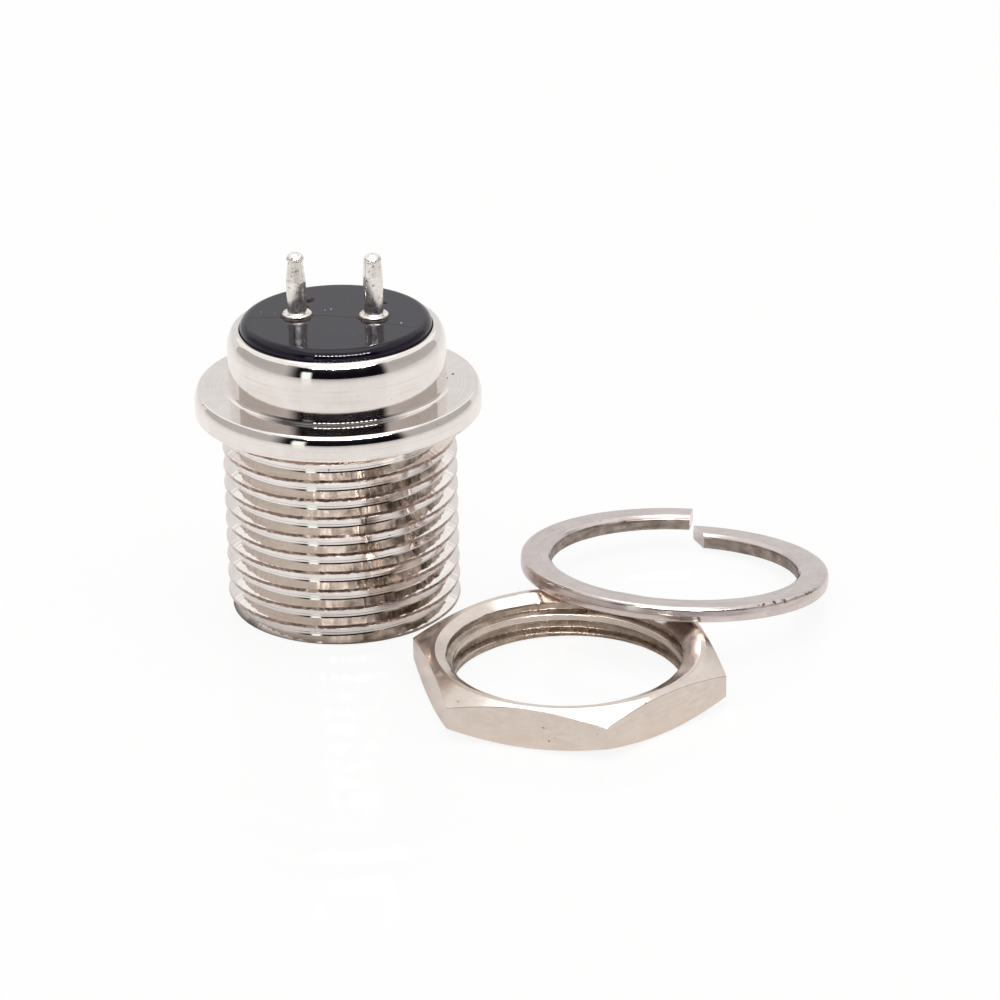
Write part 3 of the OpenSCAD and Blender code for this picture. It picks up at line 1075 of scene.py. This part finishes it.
def seen_share(tree, to_camera, in_gloss, gloss_mask=None):
    """One level for rays that show a surface to the camera, one for rays in metal and glass, 0 for the rest.

    A mask lowers the level in metal and glass where it is dark.
    """
    path = tree.nodes.new("ShaderNodeLightPath")
    level = worked_out(tree, "MULTIPLY", path.outputs["Is Camera Ray"], to_camera)
    for output in ("Is Glossy Ray", "Is Transmission Ray"):
        share = worked_out(tree, "MULTIPLY", path.outputs[output], in_gloss)
        if gloss_mask:
            share = worked_out(tree, "MULTIPLY", share, gloss_mask)
        level = worked_out(tree, "MAXIMUM", level, share)
    return level


def make_world():
    """White surroundings: plain white where seen, and a little dimmer where they light what is matte."""
    world = bpy.data.worlds.new("white_surroundings")
    bpy.context.scene.world = world
    world.use_nodes = True
    tree = world.node_tree
    background = tree.nodes["Background"]
    background.inputs["Color"].default_value = (*WHITE, 1)
    level = spread_over(tree, seen_share(tree, 1, 1), (0, 1), (AMBIENT, 1))
    tree.links.new(level, background.inputs["Strength"])


def make_floor():
    """Pale, slightly glossy floor that keeps a light contact shadow."""
    mesh = bpy.data.meshes.new("floor")
    reach = FLOOR_REACH * MM
    z = FLOOR_Z * MM
    corners = [(-reach, -reach, z), (reach, -reach, z), (reach, reach, z), (-reach, reach, z)]
    mesh.from_pydata(corners, [], [(0, 1, 2, 3)])
    floor = bpy.data.objects.new("floor", mesh)
    bpy.context.scene.collection.objects.link(floor)
    material = bpy.data.materials.new("pale_floor")
    material.use_nodes = True
    tree = material.node_tree
    tree.nodes.clear()
    nearby = node_of(tree, "ShaderNodeAmbientOcclusion", Distance=SHADOW_REACH * MM)
    nearby.samples = SHADOW_SAMPLES
    clear = worked_out(tree, "POWER", nearby.outputs["AO"], SHADOW_POWER)
    matte = node_of(tree, "ShaderNodeBsdfDiffuse", Color=(*FLOOR_COLOUR, 1))
    white = node_of(tree, "ShaderNodeEmission", Color=(*WHITE, 1), Strength=1.0)
    mix = tree.nodes.new("ShaderNodeMixShader")
    tree.links.new(seen_share(tree, FLOOR_WHITE, FLOOR_IN_METAL, clear), mix.inputs["Fac"])
    gloss = node_of(tree, "ShaderNodeBsdfGlossy", Roughness=FLOOR_GLOSS)
    surface = tree.nodes.new("ShaderNodeMixShader")
    tree.links.new(node_of(tree, "ShaderNodeFresnel", IOR=FLOOR_IOR).outputs[0], surface.inputs["Fac"])
    tree.links.new(matte.outputs[0], surface.inputs[1])
    tree.links.new(gloss.outputs[0], surface.inputs[2])
    tree.links.new(surface.outputs[0], mix.inputs[1])
    tree.links.new(white.outputs[0], mix.inputs[2])
    output = tree.nodes.new("ShaderNodeOutputMaterial")
    tree.links.new(mix.outputs[0], output.inputs["Surface"])
    mesh.materials.append(material)


def toward(heading, elevation, distance):
    """A point seen from the part at a heading to the right of the camera, and at an elevation."""
    h = math.radians(CAMERA_HEADING + heading)
    e = math.radians(elevation)
    return Vector((math.cos(h) * math.cos(e), math.sin(h) * math.cos(e), math.sin(e))) * distance * MM


def side_fade(tree, start, end):
    """0 at the start heading to the right of the camera's, changing smoothly to 1 at the end heading."""
    parts = parts_of(tree, place_of(tree))
    heading = worked_out(tree, "ARCTAN2", parts["Y"], parts["X"])
    off = worked_out(tree, "SUBTRACT", heading, math.radians(CAMERA_HEADING))
    return spread_over(tree, off, (math.radians(start), math.radians(end)), (0, 1), "SMOOTHSTEP")


def make_card(name, patches, distance, colour, strength, fade=None, lights=True):
    """A studio card of curved patches of (headings, elevations), out of the camera's sight.

    It glows evenly, or fades to a second colour between two headings: fade is (start, end, colour).
    Without lights it is seen in gloss only, and lights nothing that is matte.
    """
    across = 24
    along = 8
    points = []
    faces = []
    for headings, elevations in patches:
        count = len(points)
        for elevation in np.linspace(*elevations, along + 1):
            row = np.linspace(*headings, across + 1)
            points.extend(toward(heading, elevation, distance) for heading in row)
        for corner in (count + j * (across + 1) + i for j in range(along) for i in range(across)):
            faces.append((corner, corner + 1, corner + across + 2, corner + across + 1))
    mesh = bpy.data.meshes.new(name)
    mesh.from_pydata(points, [], faces)
    card = bpy.data.objects.new(name, mesh)
    bpy.context.scene.collection.objects.link(card)
    material = bpy.data.materials.new(name)
    material.use_nodes = True
    tree = material.node_tree
    tree.nodes.clear()
    glow = node_of(tree, "ShaderNodeEmission", Color=(*colour, 1), Strength=strength)
    if fade:
        tint = ramp(tree, side_fade(tree, *fade[:2]), 0, 1, colour, fade[2])
        tree.links.new(tint, glow.inputs["Color"])
    output = tree.nodes.new("ShaderNodeOutputMaterial")
    tree.links.new(glow.outputs[0], output.inputs["Surface"])
    mesh.materials.append(material)
    card.visible_camera = False
    card.visible_diffuse = lights
    card.visible_shadow = False


def make_lamp(name, place, size, power):
    """A soft square lamp above the part, facing it."""
    data = bpy.data.lights.new(name, "AREA")
    data.shape = "SQUARE"
    data.size = size * MM
    data.energy = power
    lamp = bpy.data.objects.new(name, data)
    lamp.location = place
    lamp.rotation_euler = (-Vector(place)).to_track_quat("-Z", "Y").to_euler()
    lamp.visible_camera = False
    bpy.context.scene.collection.objects.link(lamp)


def make_camera():
    """Camera at the photo's viewing angle."""
    data = bpy.data.cameras.new("camera")
    data.sensor_width = CAMERA_SENSOR
    data.lens = CAMERA_LENS
    data.clip_start = 0.005
    data.clip_end = 5
    camera = bpy.data.objects.new("camera", data)
    level_right = CAMERA_FORWARD.cross(Vector((0, 0, 1))).normalized()
    level_up = level_right.cross(CAMERA_FORWARD).normalized()
    right = level_right * math.cos(CAMERA_ROLL) + level_up * math.sin(CAMERA_ROLL)
    up = level_up * math.cos(CAMERA_ROLL) - level_right * math.sin(CAMERA_ROLL)
    turn = Matrix((right, up, -CAMERA_FORWARD)).transposed()
    camera.matrix_world = Matrix.Translation(Vector(CAMERA_PLACE * MM)) @ turn.to_4x4()
    bpy.context.scene.collection.objects.link(camera)
    bpy.context.scene.camera = camera


# Nickel, thread and crest finishes carry painted shade at the barrel's foot
nickel = plated_metal("bright_nickel", NICKEL, NICKEL_STAIN, (0.03, 0.075), speck=0.79, foot=FOOT_SHADE)
thread = plated_metal(
    "thread_nickel", (0.92, 0.87, 0.845), (0.85, 0.79, 0.755), (0.035, 0.09), foot=FOOT_SHADE,
)
# Lower flanks: a darker copy of the nickel as painted shade, with brown patches of painted shadow toward the
# nut
flank = plated_metal(
    "dull_flank", (0.66, 0.59, 0.535), (0.60, 0.53, 0.475), (0.05, 0.12), wear_and_shade_layers=(FLANK_SHADE,),
)
# Crests: worn plate, with painted shade toward the camera's side and at the foot
crest = plated_metal(
    "worn_crest", (0.84, 0.77, 0.73), (0.72, 0.63, 0.58), (0.12, 0.20),
    wear_and_shade_layers=(CREST_WEAR_AND_SHADE,), foot=FOOT_SHADE, metallic=0.85,
)
# Corner above the flange: painted dark shade toward the camera's side
corner_shade = plated_metal("tarnished_corner", NICKEL, NICKEL_STAIN, (0.01, 0.02), wear_and_shade_layers=(CORNER_SHADE,))
nut_nickel = plated_metal(
    "satin_nickel", (0.74, 0.66, 0.595), (0.67, 0.58, 0.52), (0.12, 0.22), NUT_CENTRE, smear=0.985,
)
# Darker finish of the nut's thread: painted shade
nut_bore_shade = plated_metal("stained_thread", (0.50, 0.41, 0.34), (0.23, 0.18, 0.14), (0.2, 0.35), NUT_CENTRE)
tin = plated_metal(
    "tinned_contact", (0.98, 0.965, 0.94), (0.80, 0.73, 0.67), (0.12, 0.3),
    mark=0.2, speck=0.63, spots=(0.46, 0.35, 0.28),
)
steel = plated_metal(
    "plated_spring_steel", (0.72, 0.64, 0.62), (0.62, 0.54, 0.52), (0.12, 0.24), WASHER_CENTRE,
)
# Darker finish of the washer's bore: painted shade
washer_bore_shade = plated_metal("stained_steel", (0.44, 0.375, 0.335), (0.15, 0.12, 0.10), (0.22, 0.4), WASHER_CENTRE)
rust = plated_metal("rusty_chips", (0.30, 0.17, 0.11), (0.12, 0.06, 0.04), (0.4, 0.6), WASHER_CENTRE)
black = moulded_black("black_moulding")
dust = plain_dirt("pale_dust", (0.85, 0.84, 0.84))
soot = plain_dirt("black_dirt", (0.006, 0.005, 0.006))
brown = plain_dirt("brown_dirt", (0.08, 0.045, 0.03))

make_shell(nickel, crest, thread, flank, corner_shade)
make_insulator(black)
make_contact("contact_left", "solder_pin_left", tin, neck_r=0.37, taper=1.15)
make_contact("contact_right", "solder_pin_right", tin, neck_r=0.445, taper=0.8)
make_nut(nut_nickel, nut_bore_shade)
make_washer(steel, washer_bore_shade, rust)
make_crumbs("dust_specks", DUST, "black_insulator", dust)
make_crumbs("black_crumbs", BLACK_CRUMBS, "black_insulator", soot)
make_crumbs("brown_specks", BROWN_SPECKS, "nickel_shell", brown)
make_residue("flux_residue", ("contact_left", "contact_right"), "black_insulator", brown)
make_seam("hairline_seam", SEAM_PATHS, "black_insulator", soot)

make_world()
make_floor()
dark_left = [((LEFT_EDGE, 0), (CARD_FOOT, DARK_TOP))]
dark_right = [((0, RIGHT_EDGE), (CARD_FOOT, DARK_TOP))]
strip = [(STRIP_HEADINGS, (CARD_FOOT, STRIP_TOP))]
lamps = [((left, left + LAMP_W), (DARK_TOP, LAMP_TOP)) for left in np.arange(LAMP_START, LAMP_END, LAMP_STEP)]
sides = [((RIGHT_EDGE, BACK_EDGE), (CARD_FOOT, SIDE_TOP)), ((-BACK_EDGE, LEFT_EDGE), (CARD_FOOT, SIDE_TOP))]
back = [((BACK_EDGE, 360 - BACK_EDGE), (CARD_FOOT, BACK_TOP))]
make_card("dark_left", dark_left, TENT, DARK, strength=1.0, fade=(LEFT_FADE, LEFT_EDGE, SIDE_GREY))
make_card("dark_right", dark_right, TENT, DARK, strength=1.0, fade=(RIGHT_FADE, RIGHT_EDGE, SIDE_GREY))
make_card("front_strip", strip, TENT - STRIP_AHEAD, STRIP_COLOUR, strength=1.2)
make_card("lamp_row", lamps, TENT, WHITE, strength=120.0, lights=False)
make_card("tent_sides", sides, TENT, SIDE_GREY, strength=1.0)
make_card("tent_back", back, TENT, WHITE, strength=0.8)
make_lamp("overhead", place=(0.0, 0.05, 0.5), size=400, power=0.65)
make_camera()

bpy.context.scene.view_settings.view_transform = "Standard"
